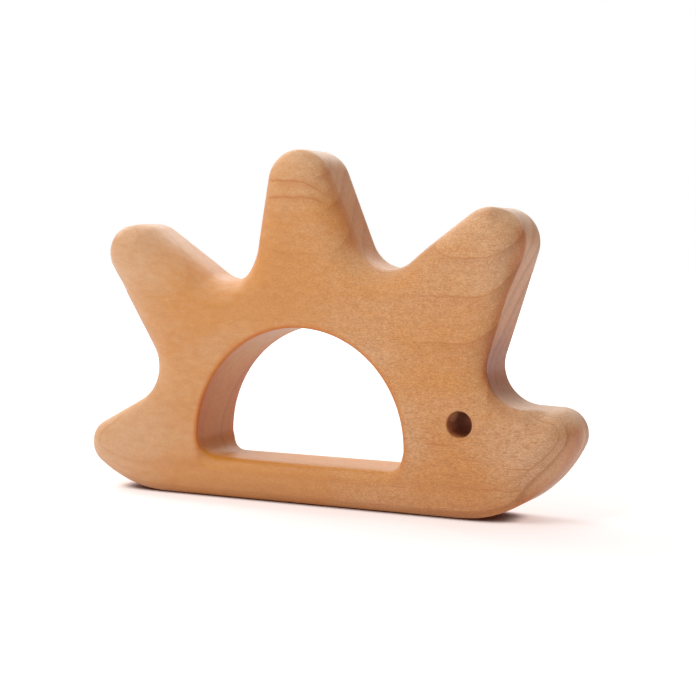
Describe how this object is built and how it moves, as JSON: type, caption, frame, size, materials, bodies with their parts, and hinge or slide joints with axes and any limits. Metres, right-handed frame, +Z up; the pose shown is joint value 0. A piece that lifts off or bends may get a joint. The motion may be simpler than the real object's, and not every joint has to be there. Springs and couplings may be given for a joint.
{
  "type": "wooden hedgehog figure",
  "caption": "Flat wooden hedgehog figure with blunt rounded spines, an arched window through the belly and a drilled eye.",
  "frame": {"origin": "on the floor, under the middle of the figure's length and thickness", "axes": "+X from the tail to the nose, +Y through the board from the front face to the back face, +Z up"},
  "size_m": [0.125, 0.019, 0.0835],
  "materials": {
    "wood": "fine-grained pale hardwood, sanded smooth and oiled to a satin sheen"
  },
  "bodies": {
    "root": {"hedgehog_body": "wood"}
  },
  "joints": []
}
